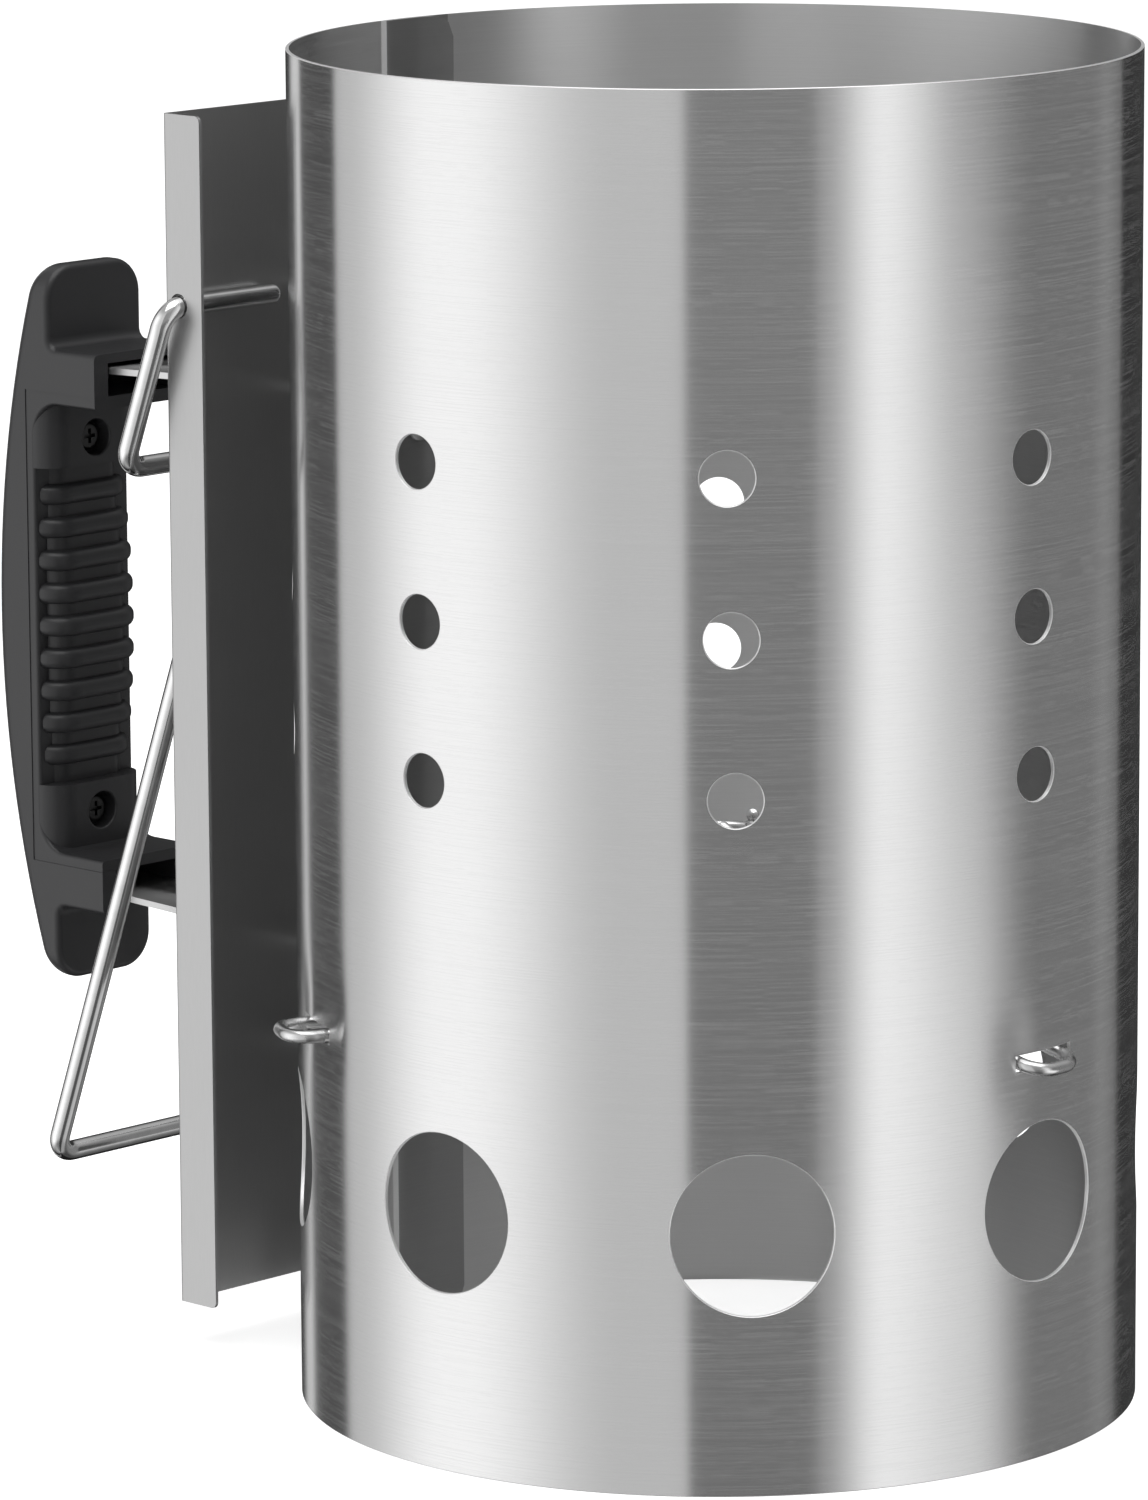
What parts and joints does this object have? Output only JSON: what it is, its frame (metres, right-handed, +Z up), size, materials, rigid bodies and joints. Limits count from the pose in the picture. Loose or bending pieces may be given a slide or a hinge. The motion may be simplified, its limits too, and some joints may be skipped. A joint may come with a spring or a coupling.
{
  "type": "chimney charcoal starter",
  "caption": "Open steel cylinder that lights charcoal over a wire cone grate, with vent holes, a heat shield, a ribbed grip and a swinging wire bail.",
  "frame": {"origin": "centre of the tube's bottom rim, on the surface that the starter stands on", "axes": "+Z up the tube's axis, -X towards the grip, +Y to the left of a person who holds the grip and looks along +X"},
  "size_m": [0.3252, 0.19, 0.306],
  "materials": {
    "stainless_sheet": "finely brushed rolled stainless sheet",
    "rivet_steel": "plain steel rivet",
    "strap_steel": "plain bent strap",
    "grip_plastic": "charcoal heat-resistant moulding with a slight grain",
    "screw_steel": "dull pan-head screw",
    "bail_steel": "bright drawn wire",
    "grate_steel": "plated wire"
  },
  "bodies": {
    "starter": {"tube_wall": "stainless_sheet", "heat_shield": "stainless_sheet", "shield_spacer_upper": "stainless_sheet", "shield_spacer_lower": "stainless_sheet", "tube_rivets_upper": "rivet_steel", "tube_rivets_lower": "rivet_steel", "shield_rivets_upper": "rivet_steel", "shield_rivets_lower": "rivet_steel", "handle_strap": "strap_steel", "handle_shell": "grip_plastic", "grip_insert": "grip_plastic", "grip_screw_upper": "screw_steel", "grip_screw_lower": "screw_steel", "grate_wire_front": "grate_steel", "grate_wire_left": "grate_steel", "grate_wire_right": "grate_steel", "grate_ring_inner": "grate_steel", "grate_ring_middle": "grate_steel", "grate_ring_outer": "grate_steel"},
    "bail": {"bail_wire": "bail_steel"}
  },
  "joints": [
    {"name": "bail_hinge", "type": "hinge", "parent": "starter", "child": "bail", "pos_m": [-0.1135, 0, 0.2433], "axis": [0, 1, 0], "range_deg": [-10, 145]}
  ]
}
